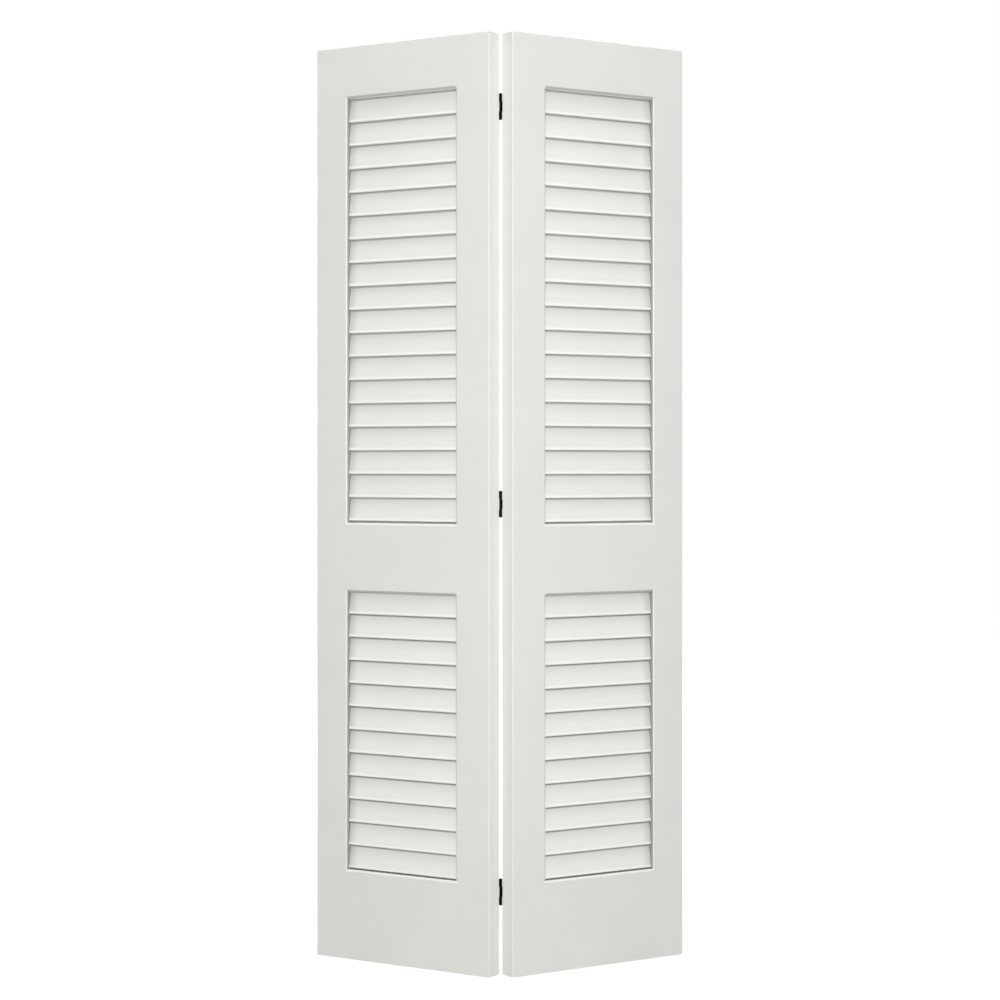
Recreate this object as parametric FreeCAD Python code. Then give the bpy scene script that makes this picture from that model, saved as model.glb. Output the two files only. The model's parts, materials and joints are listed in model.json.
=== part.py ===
import FreeCAD, Part
import math
import os
from collections import namedtuple

from FreeCAD import Placement, Rotation, Vector

# Louvred bifold closet door: two mirrored leaves, hung together at the seam on three butt hinges.
#
# Units are millimetres and degrees. +Z is up, the room is on the -Y side and the closet on the +Y
# side. The origin is on the floor, at the centre of the footprint of the half-folded door.
#
# Each leaf is modelled in the leaf frame: closed, with the hinge pins' axis along Z through the
# origin, +X across the leaf to its outer edge and +Y to the closet. The lead leaf swings from there
# about the pins, and the pivot leaf is its mirror image in the YZ plane.

# Leaves
LEAF_HEIGHT = 2007.0
LEAF_WIDTH = 451.0
LEAF_THICKNESS = 40.0
LEAF_SWING = 32.3  # of each leaf out of the closed plane, in the rest pose
SEAM_GAP = 3.5  # between the leaves when the door is closed
ARRIS_RADIUS = 1.5

# Stiles and rails
HINGE_STILE_WIDTH = 86.0
OUTER_STILE_WIDTH = 82.5
BOTTOM_RAIL_HEIGHT = 197.0
LOWER_OPENING_HEIGHT = 610.8
LOCK_RAIL_HEIGHT = 152.7
TOP_RAIL_HEIGHT = 112.8
BEVEL_WIDTH = 4.5  # of the sticking round each opening, seen from the front
BEVEL_DEPTH = 3.5

# Loose tenons that join the rails to the stiles, half in each
TENON_THICKNESS = 12.0
TENON_LENGTH = 90.0
TENON_MARGIN = 25.0  # from the rail's edges
TENON_SPACING = 30.0  # between two in one joint
TENON_CLEARANCE = 0.1
TENON_END_GAP = 0.8

# Louvres
SLAT_WIDTH = 64.0
SLAT_THICKNESS = 5.5
SLAT_CHAMFER = 1.6  # of the four long corners
SLAT_TILT = 7.5  # from upright, nose to the room
SLAT_SETBACK = 6.5  # of the nose behind the leaf's front face
UPPER_PITCH = 51.6
LOWER_PITCH = 50.9
UPPER_SILL_GAP = 3.5  # under the nose of the lowest slat
LOWER_SILL_GAP = 2.2
MIN_STRIP_HEIGHT = 4.0  # a lower strip at the sill is left out
HEAD_GROOVE = 5.0  # how far a strip at the head is let into the rail above
SLOT_DEPTH = 8.0
SLOT_CLEARANCE = 0.15
SLOT_END_GAP = 0.5

# Pre-drilled bores for the pivot and guide pins
PIN_BORE_DIAMETER = 9.5
PIN_BORE_DEPTH = 32.0
PIN_BORE_INSET = 22.0  # from the leaf's outer edge

# Hinges
TOP_HINGE_INSET = 154.5  # from the leaf's top to the hinge's middle
BOTTOM_HINGE_INSET = 175.5  # from the leaf's bottom to the hinge's middle
HINGE_LENGTH = 56.0
END_KNUCKLE_LENGTH = 17.0
KNUCKLE_PLAY = 0.3
HINGE_PIN_DIAMETER = 3.0
HINGE_PIN_CLEARANCE = 0.05
PIN_HEAD_DIAMETER = 4.8
PIN_HEAD_HEIGHT = 0.7
PLATE_THICKNESS = 1.6
PLATE_WIDTH = 28.0  # from the pin's axis
PLATE_CORNER_RADIUS = 5.0
NOTCH_CLEARANCE = 0.6  # round the other plate's knuckles

# Hinge screws
SCREW_LENGTH = 19.0
SCREW_SIDES = 8  # small and repeated, so with flat facets
SCREW_HEAD_DIAMETER = 6.4
SCREW_SHANK_DIAMETER = 3.4
SCREW_EDGE_DISTANCE = 8.0
SCREW_CLEARANCE = 0.05
SCREW_END_GAP = 0.5

# Planes of the leaf frame that the pieces share
BARREL_RADIUS = HINGE_PIN_DIAMETER / 2 + HINGE_PIN_CLEARANCE + PLATE_THICKNESS
BACK = -BARREL_RADIUS
FRONT = BACK - LEAF_THICKNESS
MID_THICKNESS = (FRONT + BACK) / 2
SEAM_EDGE = SEAM_GAP / 2
OUTER_EDGE = SEAM_EDGE + LEAF_WIDTH
HINGE_WALL = SEAM_EDGE + HINGE_STILE_WIDTH
OUTER_WALL = OUTER_EDGE - OUTER_STILE_WIDTH

# The louvred openings, and the hinges' mid-heights
Opening = namedtuple("Opening", "sill head pitch sill_gap head_strip")
LOWER_HEAD = BOTTOM_RAIL_HEIGHT + LOWER_OPENING_HEIGHT
UPPER_SILL = LOWER_HEAD + LOCK_RAIL_HEIGHT
OPENINGS = {
    "lower": Opening(BOTTOM_RAIL_HEIGHT, LOWER_HEAD, LOWER_PITCH, LOWER_SILL_GAP, False),
    "upper": Opening(UPPER_SILL, LEAF_HEIGHT - TOP_RAIL_HEIGHT, UPPER_PITCH, UPPER_SILL_GAP, True),
}
HINGE_HEIGHTS = {
    "top": LEAF_HEIGHT - TOP_HINGE_INSET,
    "middle": LEAF_HEIGHT / 2,
    "bottom": BOTTOM_HINGE_INSET,
}

UP, DOWN = 1, -1


def prism(points, sweep):
    """Extrudes the closed polygon through the points along the sweep."""
    corners = [Vector(*point) for point in points]
    return Part.Face(Part.makePolygon(corners + corners[:1])).extrude(sweep)


def rod(radius, length, base, axis):
    """A plain round rod or drill that starts at base."""
    return Part.makeCylinder(radius, length, base, axis)


def opening_box(opening):
    """Everything between an opening's sill and head, to trim slats and slots to."""
    depth = 2 * LEAF_THICKNESS
    return Part.makeBox(
        LEAF_WIDTH, depth, opening.head - opening.sill, Vector(SEAM_EDGE, FRONT - depth / 4, opening.sill)
    )


# Louvres


def slat_corners(clearance):
    """The (y, z) corners of a slat's cross-section about its centre: a chamfered lath that leans back."""
    across, along = SLAT_THICKNESS / 2 + clearance, SLAT_WIDTH / 2 + clearance
    inner, level = across - SLAT_CHAMFER, along - SLAT_CHAMFER
    rear = [(inner, -along), (across, -level), (across, level), (inner, along)]
    front = [(-inner, along), (-across, level), (-across, -level), (-inner, -along)]
    cos, sin = math.cos(math.radians(SLAT_TILT)), math.sin(math.radians(SLAT_TILT))
    return [(y * cos + z * sin, z * cos - y * sin) for y, z in rear + front]


SLAT_NOSE = -min(y for y, z in slat_corners(0))  # from a slat's centre forward to its nose
SLAT_DROP = -min(z for y, z in slat_corners(0))  # from a slat's centre down to its lowest corner
SLAT_HEIGHT = SLAT_DROP + max(z for y, z in slat_corners(0))


def lath(opening, nose_height, start, end, clearance=0.0):
    """A slat from start to end across the leaf, trimmed where it meets the opening's rails."""
    y_centre, z_centre = FRONT + SLAT_SETBACK + SLAT_NOSE, nose_height + SLAT_DROP
    section = [(start, y_centre + y, z_centre + z) for y, z in slat_corners(clearance)]
    return prism(section, Vector(end - start, 0, 0)).common(opening_box(opening)).Solids[0]


def slat_count(opening):
    """How many slats there are: all of them whole under a head strip, or else the top one ripped."""
    pitches = (opening.head - opening.sill - opening.sill_gap) / opening.pitch
    return math.floor(pitches) if opening.head_strip else math.ceil(pitches)


def nose_heights(opening):
    """Heights of the slats' noses, by the piece that they belong to.

    The pitch runs on past both ends of the opening. A strip ripped from the slat below the sill closes
    the gap behind the lowest nose. Where the opening has a strip at its head, that one fills the space
    that is left over the highest slat, and its top is let into the rail.
    """
    first = opening.sill + opening.sill_gap
    heights = {"slats": [first + step * opening.pitch for step in range(slat_count(opening))]}
    below = first - opening.pitch
    if below + SLAT_HEIGHT - opening.sill >= MIN_STRIP_HEIGHT:
        heights["foot_strip"] = [below]
    if opening.head_strip:
        heights["head_strip"] = [first + slat_count(opening) * opening.pitch]
    return heights


def room_for(opening, piece):
    """The opening that a piece is trimmed to, which for a strip at the head has the rail's groove too."""
    return opening._replace(head=opening.head + HEAD_GROOVE) if piece == "head_strip" else opening


def louvres(opening):
    """The slats and strips of one opening, each let into the stiles at both ends."""
    start = HINGE_WALL - SLOT_DEPTH + SLOT_END_GAP
    end = OUTER_WALL + SLOT_DEPTH - SLOT_END_GAP
    return {
        piece: [lath(room_for(opening, piece), height, start, end) for height in heights]
        for piece, heights in nose_heights(opening).items()
    }


def slots(wall):
    """The slots routed into a stile's wall, one for each slat and strip of both openings."""
    return [
        lath(room_for(opening, piece), height, wall - SLOT_DEPTH, wall + SLOT_DEPTH, SLOT_CLEARANCE)
        for opening in OPENINGS.values()
        for piece, heights in nose_heights(opening).items()
        for height in heights
    ]


# Stiles, rails and tenons


def stile_blank(edge, wall):
    """A stile from the leaf's edge to the wall of the openings, with bevelled sticking on the wall."""
    shoulder = wall - math.copysign(BEVEL_WIDTH, wall - edge)
    profile = [
        (edge, FRONT),
        (shoulder, FRONT),
        (wall, FRONT + BEVEL_DEPTH),
        (wall, BACK - BEVEL_DEPTH),
        (shoulder, BACK),
        (edge, BACK),
    ]
    return prism([(x, y, 0) for x, y in profile], Vector(0, 0, LEAF_HEIGHT))


def eased(blank, edge):
    """Rounds the two long arrises of a stile along the leaf's edge."""
    arrises = [
        line
        for line in blank.Edges
        if all(abs(vertex.X - edge) < ARRIS_RADIUS / 10 for vertex in line.Vertexes)
        and line.Length > LEAF_HEIGHT / 2
    ]
    return blank.makeFillet(ARRIS_RADIUS, arrises)


def edge_profile(level, outward):
    """The (y, z) points over a rail's edge, which is bevelled unless it is an end of the leaf."""
    if level in (0.0, LEAF_HEIGHT):
        return [(FRONT, level), (BACK, level)]
    shoulder = level - outward * BEVEL_WIDTH
    return [(FRONT, shoulder), (FRONT + BEVEL_DEPTH, level), (BACK - BEVEL_DEPTH, level), (BACK, shoulder)]


Rail = namedtuple("Rail", "bottom top tenons")
RAILS = {
    "bottom_rail": Rail(0.0, OPENINGS["lower"].sill, 2),
    "lock_rail": Rail(OPENINGS["lower"].head, OPENINGS["upper"].sill, 1),
    "top_rail": Rail(OPENINGS["upper"].head, LEAF_HEIGHT, 1),
}


def tenons(rail, clearance=0.0, end_gap=0.0):
    """The loose tenons across both joints of a rail, or with clearances the mortises for them."""
    free_height = rail.top - rail.bottom - 2 * TENON_MARGIN
    spacings = (rail.tenons - 1) * TENON_SPACING
    width = (free_height - spacings) / rail.tenons
    reach = TENON_LENGTH / 2 + end_gap
    half_thickness = TENON_THICKNESS / 2 + clearance
    return [
        Part.makeBox(
            2 * reach,
            2 * half_thickness,
            width + 2 * clearance,
            Vector(
                wall - reach,
                MID_THICKNESS - half_thickness,
                rail.bottom + TENON_MARGIN + step * (width + TENON_SPACING) - clearance,
            ),
        )
        for wall in (HINGE_WALL, OUTER_WALL)
        for step in range(rail.tenons)
    ]


def mortises():
    """The mortises for every tenon of a leaf."""
    return [mortise for rail in RAILS.values() for mortise in tenons(rail, TENON_CLEARANCE, TENON_END_GAP)]


def grooves(rail):
    """The groove in a rail's lower edge for the strip at the head of the opening below it, if any."""
    start, end = HINGE_WALL - BEVEL_WIDTH, OUTER_WALL + BEVEL_WIDTH
    return [
        lath(room_for(opening, "head_strip"), height, start, end, SLOT_CLEARANCE)
        for opening in OPENINGS.values()
        if opening.head == rail.bottom
        for height in nose_heights(opening).get("head_strip", [])
    ]


def rail_solid(rail):
    """A rail coped over the sticking of both stiles, so that its faces run flush into theirs."""
    profile = edge_profile(rail.bottom, DOWN) + edge_profile(rail.top, UP)[::-1]
    start, end = HINGE_WALL - BEVEL_WIDTH, OUTER_WALL + BEVEL_WIDTH
    blank = prism([(start, y, z) for y, z in profile], Vector(end - start, 0, 0))
    stiles = [stile_blank(SEAM_EDGE, HINGE_WALL), stile_blank(OUTER_EDGE, OUTER_WALL)]
    return blank.cut(stiles + tenons(rail, TENON_CLEARANCE, TENON_END_GAP) + grooves(rail)).Solids[0]


def hinge_stile():
    """The stile at the seam, with slots for the slats and pilot holes for the hinge screws."""
    blank = eased(stile_blank(SEAM_EDGE, HINGE_WALL), SEAM_EDGE)
    pilots = [hole for height in HINGE_HEIGHTS.values() for hole in screw_holes(height)]
    return blank.cut(slots(HINGE_WALL) + mortises() + pilots).Solids[0]


def pin_bore(end, outward):
    """The bore for a pivot or guide pin, drilled into one end of an outer stile."""
    mouth = Vector(OUTER_EDGE - PIN_BORE_INSET, MID_THICKNESS, end)
    return rod(PIN_BORE_DIAMETER / 2, PIN_BORE_DEPTH, mouth, Vector(0, 0, -outward))


def outer_stile(bores):
    """The stile at the leaf's outer edge, with slots for the slats and bores for its pins."""
    blank = eased(stile_blank(OUTER_EDGE, OUTER_WALL), OUTER_EDGE)
    return blank.cut(slots(OUTER_WALL) + mortises() + bores).Solids[0]


# Hinges

NOTCH_EDGE = BARREL_RADIUS + NOTCH_CLEARANCE
SCREW_SEAT = BACK + PLATE_THICKNESS
SCREW_AXIS = Vector(0, -1, 0)


def screw_places(height):
    """Where a plate's three screws stand on it: two by the barrel and one between them, further out."""
    near = NOTCH_EDGE + SCREW_EDGE_DISTANCE
    far = PLATE_WIDTH - SCREW_EDGE_DISTANCE
    rise = HINGE_LENGTH / 2 - SCREW_EDGE_DISTANCE
    return [
        Vector(near, SCREW_SEAT, height - rise),
        Vector(far, SCREW_SEAT, height),
        Vector(near, SCREW_SEAT, height + rise),
    ]


def faceted(radii, heights, base):
    """A screw or the hole for one, from base along its axis: a stack of frustums with few sides."""
    turns = [2 * math.pi * side / SCREW_SIDES for side in range(SCREW_SIDES)]
    rings = [
        [Vector(radius * math.cos(turn), radius * math.sin(turn), height) for turn in turns]
        for radius, height in zip(radii, heights)
    ]
    outlines = [rings[0], rings[-1]]
    for lower, upper in zip(rings, rings[1:]):
        for side in range(SCREW_SIDES):
            outlines.append([lower[side - 1], lower[side], upper[side], upper[side - 1]])
    faces = [Part.Face(Part.makePolygon(outline + outline[:1])) for outline in outlines]
    solid = Part.makeSolid(Part.Shell(faces))
    solid.Placement = Placement(base, Rotation(Vector(0, 0, 1), SCREW_AXIS))
    return solid


def screws(height):
    """A plate's countersunk screws, flush with it."""
    head, shank = SCREW_HEAD_DIAMETER / 2, SCREW_SHANK_DIAMETER / 2
    return [
        faceted((head, shank, shank), (0, PLATE_THICKNESS, SCREW_LENGTH), place)
        for place in screw_places(height)
    ]


def screw_holes(height):
    """The countersunk holes of a plate's screws, on through the stile behind it."""
    head, shank = SCREW_HEAD_DIAMETER / 2 + SCREW_CLEARANCE, SCREW_SHANK_DIAMETER / 2 + SCREW_CLEARANCE
    return [
        faceted((head, shank, shank), (0, PLATE_THICKNESS, SCREW_LENGTH + SCREW_END_GAP), place)
        for place in screw_places(height)
    ]


def knuckle_spans(height):
    """The (bottom, top) heights of a hinge's knuckles: its two end knuckles and its middle one."""
    bottom, top = height - HINGE_LENGTH / 2, height + HINGE_LENGTH / 2
    ends = [(bottom, bottom + END_KNUCKLE_LENGTH), (top - END_KNUCKLE_LENGTH, top)]
    middle = [(ends[0][1] + KNUCKLE_PLAY, ends[1][0] - KNUCKLE_PLAY)]
    return ends, middle


def hinge_plate(height, own_knuckles, other_knuckles):
    """A plate on the leaf's back face, rolled into its knuckles and notched round the other plate's."""
    bottom = height - HINGE_LENGTH / 2
    sheet = Part.makeBox(PLATE_WIDTH, PLATE_THICKNESS, HINGE_LENGTH, Vector(0, BACK, bottom))
    corners = [
        line
        for line in sheet.Edges
        if all(abs(vertex.X - PLATE_WIDTH) < PLATE_THICKNESS / 10 for vertex in line.Vertexes)
        and abs(line.Length - PLATE_THICKNESS) < PLATE_THICKNESS / 10
    ]
    plate = sheet.makeFillet(PLATE_CORNER_RADIUS, corners)
    barrel = [rod(BARREL_RADIUS, top - low, Vector(0, 0, low), Vector(0, 0, 1)) for low, top in own_knuckles]
    notches = [
        Part.makeBox(
            2 * NOTCH_EDGE,
            2 * BARREL_RADIUS,
            top - low + 2 * KNUCKLE_PLAY,
            Vector(-NOTCH_EDGE, -BARREL_RADIUS, low - KNUCKLE_PLAY),
        )
        for low, top in other_knuckles
    ]
    bore = rod(
        HINGE_PIN_DIAMETER / 2 + HINGE_PIN_CLEARANCE, HINGE_LENGTH, Vector(0, 0, bottom), Vector(0, 0, 1)
    )
    return plate.fuse(barrel).cut(notches + [bore] + screw_holes(height)).removeSplitter().Solids[0]


def hinge_pin(height):
    """The pin, which hangs in the barrel by its head."""
    top = Vector(0, 0, height + HINGE_LENGTH / 2)
    shank = rod(HINGE_PIN_DIAMETER / 2, HINGE_LENGTH, top, Vector(0, 0, -1))
    head = rod(PIN_HEAD_DIAMETER / 2, PIN_HEAD_HEIGHT, top, Vector(0, 0, 1))
    return shank.fuse(head).Solids[0]


# Assembly


def axis_depth():
    """The pins' axis in the row frame, for an origin at the middle of the folded door's depth."""
    swing = math.radians(LEAF_SWING)

    def corner_centre(x, y):
        return x * math.sin(swing) + y * math.cos(swing)

    front = corner_centre(SEAM_EDGE + ARRIS_RADIUS, FRONT + ARRIS_RADIUS) - ARRIS_RADIUS
    back = corner_centre(OUTER_EDGE - ARRIS_RADIUS, BACK - ARRIS_RADIUS) + ARRIS_RADIUS
    return -(front + back) / 2


def on_lead_leaf(solids):
    """Swings solids from the leaf frame to the lead leaf, on the +X side of the seam."""
    group = Part.makeCompound(solids) if len(solids) > 1 else solids[0].copy()
    group.rotate(Vector(), Vector(0, 0, 1), LEAF_SWING)
    group.translate(Vector(0, axis_depth(), 0))
    return group


def on_pivot_leaf(solids):
    """Swings solids from the leaf frame to the pivot leaf, on the -X side of the seam."""
    return on_lead_leaf(solids).mirror(Vector(), Vector(1, 0, 0))


def shared_pieces():
    """The pieces that both leaves have alike, in the leaf frame."""
    pieces = {"hinge_stile": [hinge_stile()]}
    for name, rail in RAILS.items():
        pieces[name] = [rail_solid(rail)]
        pieces[f"{name}_tenons"] = tenons(rail)
    for name, opening in OPENINGS.items():
        for piece, laths in louvres(opening).items():
            pieces[f"{name}_{piece}"] = laths
    return pieces


def hinge_pieces(name, height):
    """One hinge: the pivot leaf's plate has the end knuckles and the lead leaf's the middle one."""
    ends, middle = knuckle_spans(height)
    return {
        f"{name}_hinge_pivot_plate": on_pivot_leaf([hinge_plate(height, ends, middle)]),
        f"{name}_hinge_lead_plate": on_lead_leaf([hinge_plate(height, middle, ends)]),
        f"{name}_hinge_pin": on_pivot_leaf([hinge_pin(height)]),
        f"{name}_hinge_pivot_screws": on_pivot_leaf(screws(height)),
        f"{name}_hinge_lead_screws": on_lead_leaf(screws(height)),
    }


def door():
    """Every node of the door, by name."""
    top_bore = pin_bore(LEAF_HEIGHT, UP)
    bottom_bore = pin_bore(0.0, DOWN)
    nodes = {
        "pivot_outer_stile": on_pivot_leaf([outer_stile([top_bore, bottom_bore])]),
        "lead_outer_stile": on_lead_leaf([outer_stile([top_bore])]),
    }
    for name, solids in shared_pieces().items():
        nodes[f"pivot_{name}"] = on_pivot_leaf(solids)
        nodes[f"lead_{name}"] = on_lead_leaf(solids)
    for name, height in HINGE_HEIGHTS.items():
        nodes.update(hinge_pieces(name, height))
    return nodes


def main():
    os.makedirs("parts", exist_ok=True)
    for name, shape in door().items():
        shape.exportStep(f"parts/{name}.step")
        print(f"{name}: {len(shape.Solids)} solids, {shape.Volume:.0f} mm3")


main()
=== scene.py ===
"""Louvred bifold closet door for the render: two painted leaves, their hinges and a studio.

Sizes are in millimetres in the leaf frame, and become metres in the row frame when a piece is
placed. The leaf frame is that of a closed leaf: the hinge pins' axis runs along Z through the
origin, +X goes across the leaf to its outer edge and +Y goes to the closet.
"""

import json
import logging
import math
from dataclasses import dataclass
from enum import Enum

import bpy
import numpy as np
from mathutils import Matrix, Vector
from mathutils.geometry import tessellate_polygon


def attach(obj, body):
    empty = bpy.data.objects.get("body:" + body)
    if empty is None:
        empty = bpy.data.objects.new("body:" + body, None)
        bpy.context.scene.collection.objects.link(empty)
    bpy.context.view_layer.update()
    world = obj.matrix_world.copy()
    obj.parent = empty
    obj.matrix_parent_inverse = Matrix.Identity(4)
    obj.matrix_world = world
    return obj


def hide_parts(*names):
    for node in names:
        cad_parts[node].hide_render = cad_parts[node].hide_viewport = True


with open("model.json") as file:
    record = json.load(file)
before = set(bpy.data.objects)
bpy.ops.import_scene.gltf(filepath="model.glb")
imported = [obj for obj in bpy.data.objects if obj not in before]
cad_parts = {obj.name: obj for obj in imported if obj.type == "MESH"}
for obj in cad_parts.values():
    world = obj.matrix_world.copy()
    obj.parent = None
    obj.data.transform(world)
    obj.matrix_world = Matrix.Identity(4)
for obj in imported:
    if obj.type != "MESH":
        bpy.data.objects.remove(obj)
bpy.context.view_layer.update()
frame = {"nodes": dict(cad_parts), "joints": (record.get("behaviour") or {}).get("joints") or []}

log = logging.getLogger("bifold_door")

Array = np.ndarray
Material = bpy.types.Material
Outputs = bpy.types.NodeOutputs
Point = tuple[float, float, float]
Socket = bpy.types.NodeSocket
Span = tuple[float, float]
Tree = bpy.types.NodeTree
Value = float | tuple | Socket

MM = 0.001  # metres in a millimetre
WHITE = (1.0, 1.0, 1.0, 1.0)
SMOOTH_BELOW = math.radians(32)  # two faces that meet at less than this shade as one curve


# Surfaces


class Cap(Enum):
    """How a ring of points is closed at its end."""

    FAN = "to the ring's mean point"
    PAIRED = "straight across, from each point of its first half to one of its second"


@dataclass(frozen=True)
class Shell:
    """One closed surface: its points in millimetres, and blocks of faces that look outwards."""

    points: Array
    faces: tuple[Array, ...]


@dataclass(frozen=True)
class Outline:
    """A closed counter-clockwise outline, with the outward direction at each of its points."""

    points: Array
    normals: Array

    @classmethod
    def rounded(cls, corners: Array, radii: list[float], steps: int, fill: int = 0) -> "Outline":
        """Rounds every corner of a convex polygon.

        Where the two sides at a corner meet at an angle w, the arc's centre lies r / sin(w / 2)
        along their bisector, and the arc is that centre plus r times a direction which turns
        evenly from the one side's normal to the other's.

        Args:
            corners: The polygon's corners, counter-clockwise.
            radii: The radius at each corner.
            steps: Facets of each arc.
            fill: Evenly spaced points that are added on each side.

        Returns:
            The outline through the arcs.
        """
        radii = np.array(radii)[:, None]
        back = np.roll(corners, 1, axis=0) - corners
        on = np.roll(corners, -1, axis=0) - corners
        back, on = (side / np.linalg.norm(side, axis=1, keepdims=True) for side in (back, on))
        angle = np.arccos(np.sum(back * on, axis=1, keepdims=True))
        bisector = (back + on) / np.linalg.norm(back + on, axis=1, keepdims=True)
        centre = corners + bisector * radii / np.sin(angle / 2)
        first = np.stack([-back[:, 1], back[:, 0]], axis=1)[:, None]
        last = np.stack([on[:, 1], -on[:, 0]], axis=1)[:, None]
        share = np.linspace(0, 1, steps + 1)[None, :, None]
        turn = (math.pi - angle)[:, None]
        normals = (np.sin((1 - share) * turn) * first + np.sin(share * turn) * last) / np.sin(turn)
        points = centre[:, None] + radii[:, None] * normals
        if fill:
            along = (np.arange(1, fill + 1) / (fill + 1))[None, :, None]
            ahead = np.roll(points[:, :1], -1, axis=0)
            points = np.concatenate([points, points[:, -1:] * (1 - along) + ahead * along], axis=1)
            normals = np.concatenate([normals, np.repeat(last, fill, axis=1)], axis=1)
        return cls(points.reshape(-1, 2), normals.reshape(-1, 2))

    @classmethod
    def circle(cls, centre: Array, radius: float, count: int) -> "Outline":
        """A circle: its centre plus the radius times a direction that goes round once.

        Args:
            centre: The circle's centre.
            radius: Its radius.
            count: How many points it gets.

        Returns:
            The outline.
        """
        turn = np.arange(count) * 2 * math.pi / count
        normals = np.stack([np.cos(turn), np.sin(turn)], axis=1)
        return cls(centre + radius * normals, normals)

    def inset(self, distance: float) -> Array:
        """The points, moved inwards by a distance."""
        return self.points - distance * self.normals


def ring_faces(rings: int, around: int) -> Array:
    """Quads between successive closed rings of points.

    Args:
        rings: How many rings there are.
        around: Points in each ring.

    Returns:
        One row of four indices for each quad.
    """
    row, column = np.indices((rings - 1, around))
    near = row * around + column
    beside = row * around + (column + 1) % around
    return np.stack([near, beside, beside + around, near + around], axis=-1).reshape(-1, 4)


def loft(rings: Array, cap: Cap = Cap.FAN) -> Shell:
    """Joins successive rings to a closed surface.

    Each ring goes counter-clockwise about the direction of the path, so that the faces look
    outwards.

    Args:
        rings: Points of every ring, as an array of rings by points by 3.
        cap: How both ends are closed.

    Returns:
        The closed shell.
    """
    count, around = rings.shape[:2]
    points = rings.reshape(-1, 3)
    last = (count - 1) * around
    if cap is Cap.FAN:
        index = np.arange(around)
        after = (index + 1) % around
        poles = np.full(around, len(points))
        start = np.stack([poles, after, index], axis=1)
        end = np.stack([poles + 1, last + index, last + after], axis=1)
        points = np.concatenate([points, rings[:1].mean(axis=1), rings[-1:].mean(axis=1)])
    else:
        index = np.arange(around // 2 - 1)
        across = around - 1 - index
        end = last + np.stack([index, index + 1, across - 1, across], axis=1)
        start = (end - last)[:, ::-1]
    return Shell(points, (ring_faces(count, around), start, end))


def quarter_round(radius: float, steps: int = 3) -> tuple[Array, Array]:
    """An eased edge: how far it is set in, and how deep, from the flat to the side."""
    turn = np.linspace(0, math.pi / 2, steps + 1)
    return radius * (1 - np.sin(turn)), radius * (1 - np.cos(turn))


def turned(rows: list[Span], around: int) -> Array:
    """Rings of points about the last axis, as a lathe would turn them.

    A point is its ring's radius times the cosine and the sine of its bearing.

    Args:
        rows: The radius of each ring, and how far along the axis it lies.
        around: Points in each ring.

    Returns:
        The points, as an array of rings by points by 3.
    """
    bearing = np.arange(around) * 2 * math.pi / around
    radius, height = np.array(rows).T[..., None]
    height = np.repeat(height, around, axis=1)
    return np.stack([radius * np.cos(bearing), radius * np.sin(bearing), height], axis=-1)


# The door's two leaves


class Side(Enum):
    """Which leaf it is. The value is the sign of its X."""

    PIVOT = -1
    LEAD = 1

    @property
    def body(self) -> str:
        """The CAD body that the leaf rides on."""
        return f"{self.name.lower()}_leaf"


class Grain(Enum):
    """Which way the timber runs under the paint, as the axis of the leaf frame."""

    ACROSS = "x"
    UPRIGHT = "z"


@dataclass(frozen=True)
class Leaf:
    """Where one leaf of the half-folded door stands, and its main sizes."""

    side: Side
    swing: float  # radians out of the closed plane
    axis_depth: float  # of the pins' axis in the row frame
    height: float = 2007.0
    width: float = 451.0
    thickness: float = 40.0
    seam_edge: float = 1.75
    back: float = -3.15
    hinge_stile_width: float = 86.0
    outer_stile_width: float = 82.5

    @property
    def front(self) -> float:
        """Depth of the room-side face."""
        return self.back - self.thickness

    @property
    def middle(self) -> float:
        """Depth of the middle of the thickness."""
        return self.back - self.thickness / 2

    @property
    def outer_edge(self) -> float:
        """Where the leaf ends, away from the seam."""
        return self.seam_edge + self.width

    @property
    def hinge_wall(self) -> float:
        """The openings' wall at the seam side."""
        return self.seam_edge + self.hinge_stile_width

    @property
    def outer_wall(self) -> float:
        """The openings' wall at the outer side."""
        return self.outer_edge - self.outer_stile_width

    def place(self, points: Array) -> Array:
        """Takes points from the leaf frame to the row frame.

        They turn by the swing about the pins, move by the axis's depth and, for the pivot leaf, are
        mirrored in X.

        Args:
            points: Points in millimetres.

        Returns:
            The points in metres.
        """
        x, y, z = np.moveaxis(points, -1, 0)
        cos, sin = math.cos(self.swing), math.sin(self.swing)
        across = self.side.value * (x * cos - y * sin)
        return MM * np.stack([across, x * sin + y * cos + self.axis_depth, z], axis=-1)

    def coordinates(self, tree: Tree) -> Socket:
        """The leaf frame's coordinates in a material's nodes.

        They undo what place() does: the mirroring first, then the swing and the axis's depth.

        Args:
            tree: The material's nodes.

        Returns:
            The coordinates, in metres.
        """
        depth = MM * self.axis_depth
        undo = (-depth * math.sin(self.swing), -depth * math.cos(self.swing), 0.0)
        mirror, turn = (self.side.value, 1.0, 1.0), (0.0, 0.0, -self.swing)
        place = add_node(tree, "TexCoord")["Object"]
        return add_node(
            tree, "Mapping", {"Vector": place, "Scale": mirror, "Rotation": turn, "Location": undo}
        )[0]


@dataclass(frozen=True)
class Sticking:
    """The bevel round each opening, with its two corners softened by the paint."""

    width: float = 4.5
    depth: float = 3.5
    shoulder_radius: float = 1.2
    wall_radius: float = 0.8
    steps: int = 4

    def curve(self) -> tuple[Array, Array]:
        """The bevel's curve: the two rounded corners of a stile's section.

        Returns:
            The depth behind the face and the distance back from the wall, of each of its points.
        """
        reach = 4 * self.width  # of the rest of the section, whose three corners are left out
        corners = np.array([
            (0, -reach), (reach, -reach), (reach, 0), (self.width, 0), (0, -self.depth),
        ])
        radii = [1, 1, 1, self.shoulder_radius, self.wall_radius]
        outline = Outline.rounded(corners, radii, self.steps)
        inset, depth = outline.points[3 * (self.steps + 1):].T
        return -depth, inset


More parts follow.
